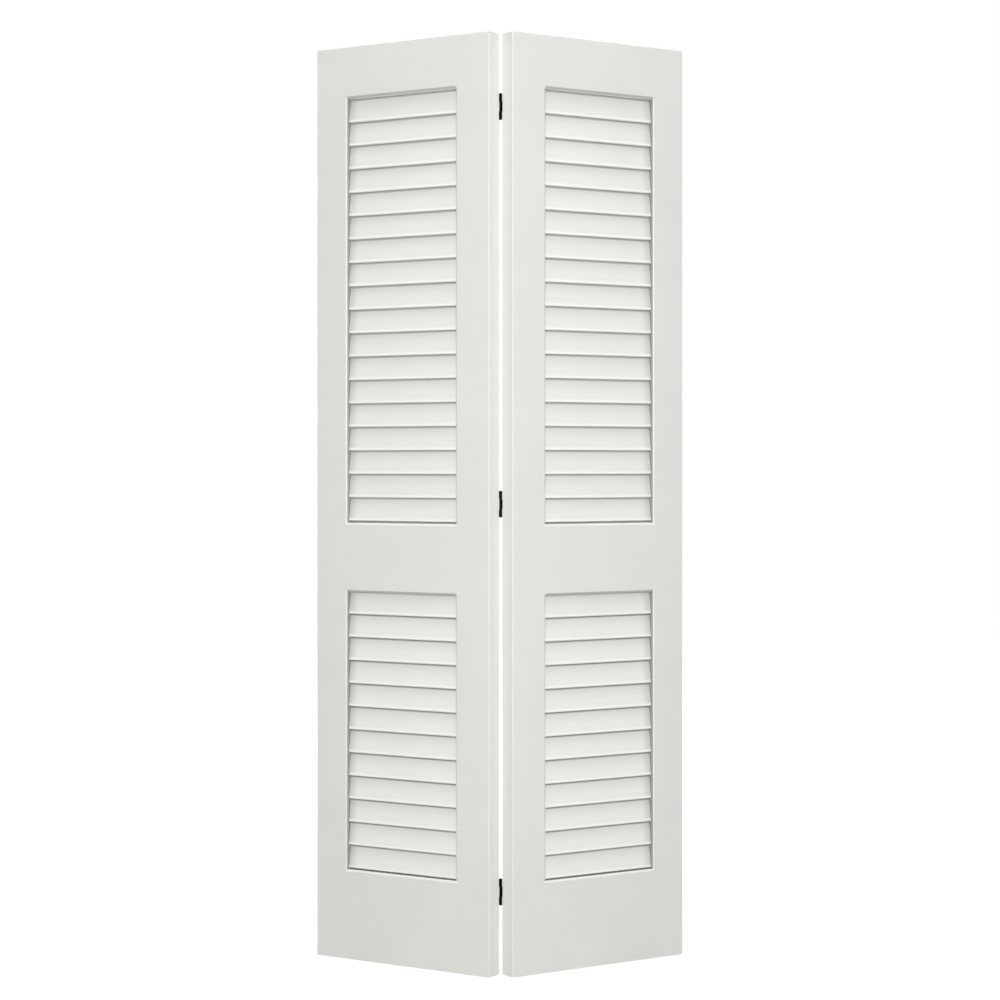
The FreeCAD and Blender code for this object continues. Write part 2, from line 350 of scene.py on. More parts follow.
@dataclass(frozen=True)
class Stile:
    """An upright of a leaf, from the leaf's edge to the wall of the openings."""

    leaf: Leaf
    edge: float
    wall: float
    bored_ends: tuple[bool, bool] = (False, False)  # for a pin, at the foot and at the top
    sticking: Sticking = Sticking()
    front_arris: float = 1.5
    back_arris: float = 1.5
    ease: float = 0.5  # of the ends
    bore_inset: float = 22.0
    bore_radius: float = 4.75
    bore_depth: float = 32.0
    bored_fill: int = 6  # points on each side of a bored stile's section

    def outline(self) -> Outline:
        """The section: square at the edge with rounded arrises, bevelled at the wall.

        Returns:
            The outline.
        """
        leaf, bevel = self.leaf, self.sticking
        shoulder = self.wall - math.copysign(bevel.width, self.wall - self.edge)
        corners = np.array([
            (self.edge, leaf.front),
            (shoulder, leaf.front),
            (self.wall, leaf.front + bevel.depth),
            (self.wall, leaf.back - bevel.depth),
            (shoulder, leaf.back),
            (self.edge, leaf.back),
        ])
        radii = [
            self.front_arris, bevel.shoulder_radius, bevel.wall_radius,
            bevel.wall_radius, bevel.shoulder_radius, self.back_arris,
        ]
        if self.wall < self.edge:
            corners, radii = corners[::-1], radii[::-1]
        fill = self.bored_fill if any(self.bored_ends) else 0
        return Outline.rounded(corners, radii, bevel.steps, fill)

    def end_rings(self, outline: Outline, bored: bool) -> tuple[list[Array], list[float]]:
        """Rings from the middle of one end out to the stile's sides.

        The end's edges are eased by a quarter round. A bored end has its bore's ring at the same
        bearings from the bore's centre as the outline's points.

        Args:
            outline: The stile's section.
            bored: Whether the end has a bore.

        Returns:
            The (x, y) points of each ring, and how far in from the end it lies.
        """
        inset, height = quarter_round(self.ease)
        rings, heights = [outline.inset(distance) for distance in inset], list(height)
        if bored:
            outward = math.copysign(1, self.edge - self.wall)
            centre = np.array([self.edge - outward * self.bore_inset, self.leaf.middle])
            spokes = outline.points - centre
            length = np.linalg.norm(spokes, axis=1, keepdims=True)
            bore = centre + self.bore_radius * spokes / length
            rings, heights = [bore, bore, *rings], [self.bore_depth, 0.0, *heights]
        return rings, heights

    def shell(self) -> Shell:
        """The stile: its outline carried from the foot to the top, with both ends closed.

        Returns:
            The closed shell.
        """
        outline = self.outline()
        foot, foot_heights = self.end_rings(outline, self.bored_ends[0])
        top, top_heights = self.end_rings(outline, self.bored_ends[1])
        flat = np.array(foot + top[::-1])
        height = self.leaf.height
        heights = np.array(foot_heights + [height - depth for depth in top_heights[::-1]])
        upright = np.broadcast_to(heights[:, None, None], (*flat.shape[:2], 1))
        return loft(np.concatenate([flat, upright], axis=2))


@dataclass(frozen=True)
class Rail:
    """A cross-piece of a leaf, coped over the bevels of both stiles."""

    leaf: Leaf
    bottom: float
    top: float
    sticking: Sticking = Sticking()
    ease: float = 0.5  # of an edge that is an end of the leaf

    def edge_insets(self, depth: Array, level: float) -> Array:
        """How far an edge of the rail lies back from its level.

        It follows the bevel's curve at an opening, and a quarter round at an end of the leaf.

        Args:
            depth: Depths behind the face.
            level: The edge's height.

        Returns:
            The distance at each depth.
        """
        if level in (0.0, self.leaf.height):
            rest = np.clip(self.ease - depth, 0, None)
            return self.ease - np.sqrt(self.ease**2 - rest**2)
        return np.interp(depth, *self.sticking.curve())

    def shell(self) -> Shell:
        """The rail: its section carried across, with each end cut to the stile's own curve.

        Returns:
            The closed shell.
        """
        leaf = self.leaf
        inset, depth = quarter_round(self.ease)
        # Rounded, so that depths that are the same become one.
        depths = np.union1d(self.sticking.curve()[0].round(6), depth.round(6))
        depth = np.concatenate([depths, depths[::-1]])
        y = np.concatenate([leaf.front + depths, leaf.back - depths[::-1]])
        low = self.bottom + self.edge_insets(depth, self.bottom)
        high = self.top - self.edge_insets(depth, self.top)
        cope = self.edge_insets(depth, (self.bottom + self.top) / 2)
        y, z = np.append(y, y[::-1]), np.append(low, high[::-1])
        ends = leaf.hinge_wall - cope, leaf.outer_wall + cope
        rings = [np.stack([np.append(x, x[::-1]), y, z], axis=1) for x in ends]
        return loft(np.array(rings), Cap.PAIRED)


@dataclass(frozen=True)
class Opening:
    """Where an opening stands in its leaf, and how its slats are spaced."""

    sill: float
    head: float
    pitch: float
    sill_gap: float  # under the lowest nose
    head_strip: bool  # over the highest slat, or else that slat is ripped to fit


@dataclass(frozen=True)
class Louvres:
    """The fixed slats of one opening, with the strips that close it at its sill and head."""

    leaf: Leaf
    opening: Opening
    width: float = 64.0
    thickness: float = 5.5
    tilt: float = math.radians(7.5)
    setback: float = 6.5  # of the noses behind the leaf's face
    housing: float = 7.5  # how far a slat runs into each stile
    head_groove: float = 5.0  # how far a strip at the head runs into the rail above
    nose_steps: int = 10

    def pieces(self) -> dict[str, list[Shell]]:
        """All the slats and strips.

        Returns:
            Their shells, by the last part of their node's name.
        """
        opening = self.opening
        pitches = (opening.head - opening.sill - opening.sill_gap) / opening.pitch
        count = math.floor(pitches) if opening.head_strip else math.ceil(pitches)
        pieces = {"slats": self.shells(range(count)), "foot_strip": self.shells(range(-1, 0))}
        if opening.head_strip:
            pieces["head_strip"] = self.shells(range(count, count + 1), self.head_groove)
        return pieces

    def shells(self, steps: range, rise: float = 0.0) -> list[Shell]:
        """The slats at some steps of the pitch, counted from the lowest whole one.

        A slat's section is a lath with full-round noses, at a across and s along it, so that a
        point lies at y = a cos t + s sin t and z = s cos t - a sin t about the middle of the slat.
        It stays between the sill and the head by holding s between the values at which z reaches
        them.

        Args:
            steps: The slats' places.
            rise: How far they may run up past the head.

        Returns:
            One shell for each slat.
        """
        opening = self.opening
        radius = self.thickness / 2
        half = self.width / 2 - radius
        cos, sin = math.cos(self.tilt), math.sin(self.tilt)
        turn = np.linspace(0, math.pi, self.nose_steps + 1)
        turn = np.concatenate([turn, turn + math.pi])
        across = radius * np.cos(turn)
        along = radius * np.sin(turn) + np.where(turn > math.pi, -half, half)
        along[self.nose_steps + 1] = -half
        forward, drop = half * sin + radius, half * cos + radius  # from the middle to the nose
        middle_y = self.leaf.front + self.setback + forward
        lowest_z = opening.sill + opening.sill_gap + drop
        middle_z = lowest_z + opening.pitch * np.array(steps)[:, None]
        lowest = (opening.sill - middle_z + across * sin) / cos
        highest = (opening.head + rise - middle_z + across * sin) / cos
        along = np.clip(along, lowest, highest)
        y = middle_y + across * cos + along * sin
        z = middle_z + along * cos - across * sin
        x = np.array([self.leaf.hinge_wall - self.housing, self.leaf.outer_wall + self.housing])
        rings = np.stack(np.broadcast_arrays(x[None, :, None], y[:, None], z[:, None]), axis=-1)
        return [loft(ring) for ring in rings]


# Hinges


@dataclass(frozen=True)
class Screw:
    """A countersunk screw with a cross recess."""

    head_radius: float = 3.2
    head_gap: float = 0.05  # between the head and its hole
    head_rings: int = 12
    head_span: Span = (0.12, 0.94)  # the rings' reach, of the head's radius
    dome: float = 0.12  # how far the head's middle stands up
    rim: float = 0.1  # depth of the head's edge
    sink: float = 1.6  # depth at which the cone reaches the shank
    shank_radius: float = 1.7
    length: float = 19.0
    point_start: float = 0.85  # of the length
    point_radius: float = 0.3
    recess_depth: float = 1.1
    recess_reach: float = 1.9
    recess_fall: float = 1.35  # how steeply its floor rises to the arms' ends
    arm_half: float = 0.63  # half the width of an arm at its top
    arm_slope: float = 0.252  # over which an arm's sides fall

    def shell(self, seat: Array, around: int) -> Shell:
        """The screw, driven towards the room.

        Its rings run from the middle of the head out to the rim, down the cone and the shank to
        the point. The head is a shallow dome less the recess: a depth that falls to nothing at the
        arms' reach, and across an arm from its middle to its sides.

        Args:
            seat: The place of the head's middle, level with the plate.
            around: Points in each ring.

        Returns:
            The closed shell.
        """
        head, shank = self.head_radius - self.head_gap, self.shank_radius
        reach = head * np.linspace(*self.head_span, self.head_rings)
        top = turned([(radius, self.dome * (1 - (radius / head) ** 2)) for radius in reach], around)
        x, z = abs(top[..., 0]), abs(top[..., 1])
        arm, along = np.minimum(x, z), np.maximum(x, z)
        side = np.clip((self.arm_half - arm) / self.arm_slope, 0, 1)
        floor = np.clip(self.recess_fall * (1 - along / self.recess_reach), 0, 1)
        top[..., 2] -= self.recess_depth * side * floor
        body = turned([
            (head, -self.rim), (shank, -self.sink),
            (shank, -self.point_start * self.length), (self.point_radius, -self.length),
        ], around)
        return loft(np.concatenate([top, body])[..., [0, 2, 1]] + seat)


@dataclass(frozen=True)
class Hinge:
    """A butt hinge whose plates lie on the leaves' back faces."""

    height: float
    length: float = 56.0
    barrel_radius: float = 3.15
    plate_thickness: float = 1.6
    plate_width: float = 28.0  # from the pin's axis
    plate_corner: float = 5.0
    corner_steps: int = 8
    plate_start: float = 3.75
    end_knuckle: float = 17.0
    knuckle_play: float = 0.3
    roll_end: float = math.radians(-385)  # where the rolled sheet stops, just off the plate
    roll_steps: int = 30
    tuck: float = 0.6  # how far a knuckle's strip runs into the plate
    sheet_skin: float = 0.02  # by which that strip is thinner, so as to end inside the plate
    ease: float = 0.3
    pin_radius: float = 1.5
    pin_head_radius: float = 2.4
    pin_head_height: float = 0.7
    pin_head_steps: int = 4
    screw: Screw = Screw()
    screw_edge: float = 8.0
    around: int = 32

    @property
    def extent(self) -> Span:
        """Heights of the barrel's foot and top."""
        return self.height - self.length / 2, self.height + self.length / 2

    @property
    def plate_face(self) -> float:
        """Depth of the plates' faces on the closet side."""
        return self.plate_thickness - self.barrel_radius

    def spans(self, ends: bool) -> list[Span]:
        """Where a plate's knuckles lie.

        Args:
            ends: Whether it has the two end knuckles, and not the middle one.

        Returns:
            The bottom and top of each.
        """
        bottom, top = self.extent
        if ends:
            return [(bottom, bottom + self.end_knuckle), (top - self.end_knuckle, top)]
        inset = self.end_knuckle + self.knuckle_play
        return [(bottom + inset, top - inset)]

    def knuckle(self, bottom: float, top: float) -> Shell:
        """A knuckle: a strip that leaves the plate and rolls round the pin.

        Its outer and inner faces run straight to the axis, and go on at the barrel's radius and
        that less the sheet's thickness, while the bearing falls from straight to the front.

        Args:
            bottom: Height of its lower end.
            top: Height of its upper end.

        Returns:
            The closed shell.
        """
        outer = self.barrel_radius
        inner = outer - self.plate_thickness
        bearing = np.linspace(-math.pi / 2, self.roll_end, self.roll_steps + 1)
        start = self.plate_start + self.tuck

        def face(radius: float, skin: float) -> Array:
            """One face of the strip.

            Args:
                radius: How far from the axis it rolls.
                skin: How much nearer to the closet its straight runs.

            Returns:
                Its (x, y) points, from the plate on.
            """
            straight = [(start, skin - radius), (self.plate_start / 2, skin - radius)]
            rolled = radius * np.stack([np.cos(bearing), np.sin(bearing)], axis=1)
            return np.append(straight, rolled, axis=0)

        flat = np.append(face(inner, -self.sheet_skin), face(outer, self.sheet_skin)[::-1], axis=0)
        rings = [np.insert(flat, 2, height, axis=1) for height in (bottom, top)]
        return loft(np.array(rings), Cap.PAIRED)

    def screw_places(self) -> Array:
        """Where a plate's three screws are.

        Returns:
            Their (x, z) places.
        """
        near, far = self.plate_start + self.screw_edge, self.plate_width - self.screw_edge
        rise = self.length / 2 - self.screw_edge
        return np.array([(near, -rise), (far, 0), (near, rise)]) + (0, self.height)

    def plate(self) -> Shell:
        """The flat of a plate, with rounded outer corners and a hole for each screw.

        Every loop, the outline's and the holes', is carried through the thickness with an eased
        edge on the closet side. The flats between the loops are tessellated.

        Returns:
            The closed shell.
        """
        (bottom, top), near, far = self.extent, self.plate_start, self.plate_width
        corners = np.array([(near, bottom), (far, bottom), (far, top), (near, top)])
        inner, outer = 2 * self.ease, self.plate_corner
        loops = [Outline.rounded(corners, [inner, outer, outer, inner], self.corner_steps)]
        for place in self.screw_places():
            hole = Outline.circle(place, self.screw.head_radius, self.around)
            loops.append(Outline(hole.points[::-1], -hole.normals[::-1]))
        inset, depth = quarter_round(self.ease)
        levels = np.append(-depth, -self.plate_thickness) + self.plate_face
        points, faces, flats, first = [], [], [], 0
        for loop in loops:
            flat = np.array([loop.inset(distance) for distance in [*inset, 0.0]])
            rings = np.insert(flat, 1, levels[:, None], axis=2)
            faces.append(first + ring_faces(len(levels), len(loop.points)))
            flats.append(first + np.arange(len(loop.points)))
            points.append(rings.reshape(-1, 3))
            first += len(points[-1])
        index = np.concatenate(flats)
        rims = [loop.inset(self.ease).tolist() for loop in loops]
        corners = [[Vector((*point, 0)) for point in rim] for rim in rims]
        triangles = index[np.array(tessellate_polygon(corners))]
        points = np.concatenate(points)
        x, z = points[triangles][..., 0], points[triangles][..., 2]
        x, z = x[:, 1:] - x[:, :1], z[:, 1:] - z[:, :1]
        area = x[:, 0] * z[:, 1] - x[:, 1] * z[:, 0]
        closet = np.where(area[:, None] > 0, triangles[:, ::-1], triangles)
        shift = np.zeros(len(points), int)  # from the closet side's rim to the other side's
        shift[index] = np.concatenate([np.full(len(f), (len(levels) - 1) * len(f)) for f in flats])
        return Shell(points, (*faces, closet, (closet + shift[closet])[:, ::-1]))

    def screws(self) -> list[Shell]:
        """A plate's screws."""
        return [
            self.screw.shell(np.array([x, self.plate_face, z]), self.around)
            for x, z in self.screw_places()
        ]

    def pin(self) -> Shell:
        """The pin: chamfered at its foot, with a domed head above the barrel.

        Returns:
            The closed shell.
        """
        bottom, top = self.extent
        radius, ease = self.pin_radius, self.ease
        turn = np.linspace(0, math.pi / 2, self.pin_head_steps + 1)[:-1]
        head = zip(self.pin_head_radius * np.cos(turn), top + self.pin_head_height * np.sin(turn))
        rows = [(radius - ease, bottom), (radius, bottom + ease), (radius, top), *head]
        return loft(turned(rows, self.around))


# Finishes, some with painted light and shade in the enamels


def linear(colour: str) -> tuple[float, float, float, float]:
    """Turns an sRGB colour to a linear one.

    Args:
        colour: The colour, as #RRGGBB.

    Returns:
        Its red, green and blue, and full alpha.
    """
    channels = [int(colour[place:place + 2], 16) / 255 for place in (1, 3, 5)]
    red, green, blue = (
        c / 12.92 if c <= 0.04045 else ((c + 0.055) / 1.055) ** 2.4 for c in channels
    )
    return red, green, blue, 1.0


def add_node(
    tree: Tree, kind: str, inputs: dict[str | int, Value] | None = None, **settings: object
) -> Outputs:
    """Adds a node with its settings, and sets or links its inputs.

    Args:
        tree: The tree that gets the node.
        kind: The node's type, without the ShaderNode that it starts with.
        inputs: A value or another node's socket for each input, by name or number.
        settings: The node's own properties.

    Returns:
        The node's outputs.
    """
    node = tree.nodes.new(f"ShaderNode{kind}")
    for name, value in settings.items():
        setattr(node, name, value)
    for name, value in (inputs or {}).items():
        if isinstance(value, Socket):
            tree.links.new(value, node.inputs[name])
        else:
            node.inputs[name].default_value = value
    return node.outputs


def within(tree: Tree, parts: Outputs, spans: dict[str, Span]) -> Value:
    """One where every coordinate lies in its axis's span, and nought outside.

    Args:
        tree: The material's nodes.
        parts: The separated coordinates.
        spans: The span of each axis that counts, in millimetres.

    Returns:
        The share.
    """
    share = 1.0
    for axis, (low, high) in spans.items():
        middle, reach = (low + high) / 2 * MM, (high - low) / 2 * MM
        inside = add_node(
            tree, "Math", {0: parts[axis], 1: middle, 2: reach}, operation="COMPARE"
        )[0]
        share = add_node(tree, "Math", {0: share, 1: inside}, operation="MULTIPLY")[0]
    return share


def tinted(
    tree: Tree, colour: Value, tint: str, value: Value, start: float = 0.0, full: float = 1.0
) -> Socket:
    """Lays an sRGB tint over a colour.

    Args:
        tree: The material's nodes.
        colour: The colour under it.
        tint: The tint.
        value: What it goes by.
        start: The value at which the tint begins.
        full: The value at which it covers the colour.

    Returns:
        The tinted colour.
    """
    share = add_node(tree, "MapRange", {"Value": value, "From Min": start, "From Max": full})[0]
    return add_node(tree, "Mix", {0: share, 6: colour, 7: linear(tint)}, data_type="RGBA")[2]


def new_tree(name: str) -> tuple[Material, Tree]:
    """Makes a material with an empty node tree.

    Args:
        name: The material's name.

    Returns:
        The material and its tree.
    """
    material = bpy.data.materials.new(name)
    material.use_nodes = True
    material.node_tree.nodes.clear()
    return material, material.node_tree


@dataclass(frozen=True)
class SatinEnamelWithPaintedLight:
    """White satin enamel, sprayed over primed timber.

    It gives the eye an even, soft sheen with the lowest stipple. It carries painted shade: the
    walls of the openings in front of the slats, and what faces down, are painted greyer. It carries
    painted highlights: the seam edges and the bevels by the seam are painted whiter.
    """

    colour: str = "#EAE9E5"
    shade: str = "#E6E5E1"
    tone_span: Span = (0.3, 0.7)  # of the noise, from the shade to the colour
    # Painted shade: the openings' walls in front of the slats are painted greyer, where shade
    # falls.
    painted_wall_shade_colour: str = "#9A9994"
    painted_wall_shade_depths: Span = (3.3, 17.0)  # behind the face
    painted_wall_shade_overlaps: Span = (0.6, 4.0)  # past the first wall and the outer one
    outer_wall_only: bool = False
    # Painted shade: whatever faces down is painted greyer.
    painted_underside_shade_colour: str = "#C4C3BE"
    painted_underside_shade_span: Span = (-0.35, -0.58)  # of the normal's Z, to where it is full
    end_clearance: float = 50.0  # from the leaf's foot and top, where no opening reaches
    # Painted highlight: the seam edge is painted whiter.
    painted_seam_edge_highlight_colour: str = "#EEEDE9"
    painted_seam_edge_highlight_reach: Span = (2.5, 1.0)  # from the seam edge, where it begins and is full
    # Painted highlight: the bevel by the seam is painted whiter.
    painted_bevel_highlight_colour: str = "#FFFFFF"
    painted_bevel_highlight_width: float = 4.5
    painted_bevel_highlight_overlap: float = 0.2  # past the wall
    painted_bevel_highlight_depths: Span = (0.5, 4.5)  # behind the face
    roughness: Span = (0.38, 0.46)
    ior: float = 1.5
    cloud_size: float = 140.0  # of the slow change in tone
    stipple_size: float = 4.5  # drawn some times coarser than the real one, so as to show
    stipple_depth: float = 0.010
    stipple_fineness: float = 0.6  # how much of the noise is in its finer octaves
    streak_width: float = 2.6
    streak_length: float = 130.0
    streak_detail: float = 3.0  # octaves of the noise
    streak_fineness: float = 0.55
    streak_depth: float = 0.004
    streak_tone: float = 0.15  # how much of the change in tone follows the streaks

    def material(self, name: str, leaf: Leaf, grain: Grain) -> Material:
        """The enamel on one leaf's pieces.

        Args:
            name: The material's name.
            leaf: The leaf whose frame the patterns follow.
            grain: Which way the streaks run.

        Returns:
            The material.
        """
        material, tree = new_tree(name)
        place = leaf.coordinates(tree)
        fine, long = 1 / (self.streak_width * MM), 1 / (self.streak_length * MM)
        scale = (long, fine, fine) if grain is Grain.ACROSS else (fine, fine, long)
        apart = (leaf.side.value, 0, 0)  # so that the leaves' streaks differ
        drawn_out = add_node(
            tree, "Mapping", {"Vector": place, "Scale": scale, "Location": apart}
        )[0]
        streaks = add_node(
            tree, "TexNoise",
            {
                "Vector": drawn_out, "Scale": 1.0,
                "Detail": self.streak_detail, "Roughness": self.streak_fineness,
            },
        )[0]
        cloud = add_node(
            tree, "TexNoise", {"Vector": place, "Scale": 1 / (self.cloud_size * MM)}
        )[0]
        stipple = add_node(
            tree, "TexNoise",
            {
                "Vector": place, "Scale": 1 / (self.stipple_size * MM),
                "Roughness": self.stipple_fineness,
            },
        )[0]
        tone = add_node(
            tree, "Mix", {0: self.streak_tone, 2: cloud, 3: streaks}, data_type="FLOAT"
        )[0]
        colour = tinted(tree, linear(self.shade), self.colour, tone, *self.tone_span)
        colour = self.worn(tree, place, leaf, colour)
        smooth, rough = self.roughness
        rough = add_node(tree, "MapRange", {"Value": stipple, "To Min": smooth, "To Max": rough})[0]
        grained = add_node(
            tree, "Bump", {"Height": streaks, "Distance": self.streak_depth * MM}
        )[0]
        normal = add_node(
            tree, "Bump",
            {"Height": stipple, "Distance": self.stipple_depth * MM, "Normal": grained},
        )[0]
        look = {"Base Color": colour, "Roughness": rough, "IOR": self.ior, "Normal": normal}
        shader = add_node(tree, "BsdfPrincipled", look)[0]
        add_node(tree, "OutputMaterial", {"Surface": shader})
        return material

    def worn(self, tree: Tree, place: Socket, leaf: Leaf, colour: Socket) -> Socket:
        """Paints shade on the openings' walls and what faces down, and highlights by the seam.

        The highlights lie on the seam edge and on its bevel.

        Args:
            tree: The material's nodes.
            place: The leaf frame's coordinates.
            leaf: The leaf.
            colour: The colour of the open faces.

        Returns:
            The colour all over.
        """
        parts = add_node(tree, "SeparateXYZ", {0: place})
        off_the_ends = (self.end_clearance, leaf.height - self.end_clearance)

        def region(start: float, end: float, depths: Span) -> Value:
            """One between two places across the leaf and two depths behind its face."""
            near, far = (leaf.front + depth for depth in depths)
            return within(tree, parts, {"X": (start, end), "Y": (near, far), "Z": off_the_ends})

        first_wall = leaf.outer_wall if self.outer_wall_only else leaf.hinge_wall
        before, beyond = self.painted_wall_shade_overlaps
        # Painted shade on the openings' walls in front of the slats.
        wall = region(first_wall - before, leaf.outer_wall + beyond, self.painted_wall_shade_depths)
        # Painted highlight on the bevel by the seam.
        shoulder = leaf.hinge_wall - self.painted_bevel_highlight_width
        bevel = region(shoulder, leaf.hinge_wall + self.painted_bevel_highlight_overlap, self.painted_bevel_highlight_depths)
        # Painted shade on what faces down, by the Z of its normal.
        normal = add_node(tree, "NewGeometry")["Normal"]
        upward = add_node(tree, "SeparateXYZ", {0: normal})["Z"]
        # Painted highlight along the seam edge.
        edge = ((leaf.seam_edge + reach) * MM for reach in self.painted_seam_edge_highlight_reach)
        colour = tinted(tree, colour, self.painted_wall_shade_colour, wall)
        colour = tinted(tree, colour, self.painted_underside_shade_colour, upward, *self.painted_underside_shade_span)
        colour = tinted(tree, colour, self.painted_bevel_highlight_colour, bevel)
        return tinted(tree, colour, self.painted_seam_edge_highlight_colour, parts["X"], *edge)


@dataclass(frozen=True)
class SlatEnamelWithPaintedLight(SatinEnamelWithPaintedLight):
    """The same enamel on the slats.

    It gives the eye the faint streaks of the primed grain under it. It carries painted light: a
    whiter line along every nose as a painted highlight, and a greyer one behind the next nose as a
    painted shadow. Its faces are painted a little darker towards that nose, as painted shade, and
    towards the outer wall, as painted shade from the wall.
    """

    # Lighter and more neutral than the frames' enamel: the hue is the slats' own, and part of the
    # lightness is painted light.
    colour: str = "#EFEFEC"
    shade: str = "#EAEAE7"
    streak_depth: float = 0.012
    streak_tone: float = 0.6
    # Painted highlight: a whiter line along every nose.
    painted_nose_highlight_colour: str = "#FFFFFF"
    nose_depth: float = 6.5  # of the noses behind the leaf's face
    painted_nose_highlight_reach: float = 0.7
    # Painted shadow: a greyer line on each face behind the next nose.
    painted_lap_shadow_colour: str = "#B2B1AD"
    painted_lap_shadow_depth: float = 13.15  # of the middle of the greyed band behind the leaf's face
    painted_lap_shadow_reach: Span = (0.9, 0.5)  # from that middle, where it begins and is full
    shadow_colour: str = "#E8E8E5"
    shadow_depths: Span = (9.0, 12.4)  # where the soft shade begins and is full
    # Painted shade: the faces are painted darker towards the outer wall.
    painted_end_shade_colour: str = "#D1D0CC"
    painted_end_shade_reach: float = 22.0  # from the outer wall

    def worn(self, tree: Tree, place: Socket, leaf: Leaf, colour: Socket) -> Socket:
        """Paints highlights on the noses, and shade by the outer wall and where the next slat laps.

        A slat's face goes deeper as it rises, so a band of depth is a line along it.

        Args:
            tree: The material's nodes.
            place: The leaf frame's coordinates.
            leaf: The leaf.
            colour: The colour of the open faces.

        Returns:
            The colour all over.
        """
        parts = add_node(tree, "SeparateXYZ", {0: place})
        # Painted shadow behind each nose, by the distance from its band's middle depth.
        from_lap_shadow = add_node(
            tree, "Math", {0: parts["Y"], 1: (leaf.front + self.painted_lap_shadow_depth) * MM},
            operation="SUBTRACT",
        )[0]
        from_lap_shadow = add_node(tree, "Math", {0: from_lap_shadow}, operation="ABSOLUTE")[0]
        for tint, value, origin, span in (
            (self.shadow_colour, parts["Y"], leaf.front, self.shadow_depths),
            (self.painted_end_shade_colour, parts["X"], leaf.outer_wall, (-self.painted_end_shade_reach, 0.0)),
            (self.painted_nose_highlight_colour, parts["Y"], leaf.front + self.nose_depth, (self.painted_nose_highlight_reach, 0.0)),
            (self.painted_lap_shadow_colour, from_lap_shadow, 0.0, self.painted_lap_shadow_reach),
        ):
            start, full = ((origin + reach) * MM for reach in span)
            colour = tinted(tree, colour, tint, value, start, full)
        return colour


@dataclass(frozen=True)
class BlackPaintedSteel:
    """Stamped and rolled steel, painted black.

    It gives the eye a deep black with a slight orange peel and hardly any sheen.
    """

    colour: str = "#060606"
    shade: str = "#040404"
    roughness: Span = (0.44, 0.56)
    ior: float = 1.12
    peel_size: float = 1.1
    peel_detail: float = 1.0  # octaves of the noise
    peel_depth: float = 0.012
    cloud_size: float = 16.0
    cloud_detail: float = 3.0

    def material(self, name: str) -> Material:
        """The painted steel.

        Args:
            name: The material's name.

        Returns:
            The material.
        """
        material, tree = new_tree(name)
        place = add_node(tree, "TexCoord")["Object"]
        cloud, peel = (
            add_node(
                tree, "TexNoise", {"Vector": place, "Scale": 1 / (size * MM), "Detail": detail}
            )[0]
            for size, detail in (
                (self.cloud_size, self.cloud_detail), (self.peel_size, self.peel_detail),
            )
        )
        colour = tinted(tree, linear(self.shade), self.colour, cloud)
        smooth, rough = self.roughness
        rough = add_node(tree, "MapRange", {"Value": cloud, "To Min": smooth, "To Max": rough})[0]
        normal = add_node(tree, "Bump", {"Height": peel, "Distance": self.peel_depth * MM})[0]
        look = {"Base Color": colour, "Roughness": rough, "IOR": self.ior, "Normal": normal}
        shader = add_node(tree, "BsdfPrincipled", look)[0]
        add_node(tree, "OutputMaterial", {"Surface": shader})
        return material


@dataclass(frozen=True)
class BareBeech:
    """Planed beech, as loose tenons are milled from.

    It gives the eye a pale pinkish brown with short dark flecks along the grain.
    """

    colour: str = "#D2B08A"
    shade: str = "#B98F66"
    roughness: float = 0.6
    ior: float = 1.5
    fleck_width: float = 0.5
    fleck_length: float = 3.0

    def material(self, name: str, leaf: Leaf) -> Material:
        """The timber of one leaf's tenons, with the grain across the leaf.

        Args:
            name: The material's name.
            leaf: The leaf whose frame the grain follows.

        Returns:
            The material.
        """
        material, tree = new_tree(name)
        fine, long = 1 / (self.fleck_width * MM), 1 / (self.fleck_length * MM)
        drawn_out = add_node(
            tree, "Mapping", {"Vector": leaf.coordinates(tree), "Scale": (long, fine, fine)}
        )[0]
        flecks = add_node(tree, "TexNoise", {"Vector": drawn_out, "Scale": 1.0})[0]
        colour = tinted(tree, linear(self.shade), self.colour, flecks)
        look = {"Base Color": colour, "Roughness": self.roughness, "IOR": self.ior}
        shader = add_node(tree, "BsdfPrincipled", look)[0]
        add_node(tree, "OutputMaterial", {"Surface": shader})
        return material


# Assembly


class Slot(Enum):
    """The record's material slots of the pieces that are made here."""

    PAINT = "white_paint"
    STEEL = "black_steel"


def put(name: str, data: bpy.types.ID) -> bpy.types.Object:
    """Puts an object in the scene.

    Args:
        name: The object's name.
        data: Its mesh, lamp or camera.

    Returns:
        The object.
    """
    thing = bpy.data.objects.new(name, data)
    bpy.context.scene.collection.objects.link(thing)
    return thing


def show(node: str, shells: list[Shell], leaf: Leaf, material: Material) -> None:
    """Makes the finished piece that stands for a CAD node, and gives both its finish.

    Args:
        node: The CAD node's name.
        shells: The piece's closed surfaces, in the leaf frame.
        leaf: The leaf that it rides on.
        material: The piece's finish.
    """
    name = node.title().replace("_", "")
    order = slice(None, None, leaf.side.value)  # a mirrored piece has its faces turned over
    firsts = np.cumsum([0] + [len(shell.points) for shell in shells])
    faces = [
        face
        for first, shell in zip(firsts, shells)
        for block in shell.faces
        for face in (block + first)[:, order].tolist()
    ]
    points = leaf.place(np.concatenate([shell.points for shell in shells]))
    mesh = bpy.data.meshes.new(name)
    mesh.from_pydata(points.tolist(), [], faces)
    mesh.shade_smooth()
    mesh.set_sharp_from_angle(angle=SMOOTH_BELOW)
    mesh.materials.append(material)
    piece = put(name, mesh)
    # Flats keep their own normals, and only the arcs beside them turn.
    piece.modifiers.new("FlatsStayFlat", "WEIGHTED_NORMAL").keep_sharp = True
    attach(piece, leaf.side.body)
    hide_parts(node)
    dress(node, material)
    log.info("%s: %d shells, %d faces", name, len(shells), len(faces))


def dress(node: str, material: Material) -> None:
    """Gives a CAD node its finish.

    Args:
        node: The node's name.
        material: The finish.
    """
    solid = frame["nodes"][node].data
    solid.materials.clear()
    solid.materials.append(material)


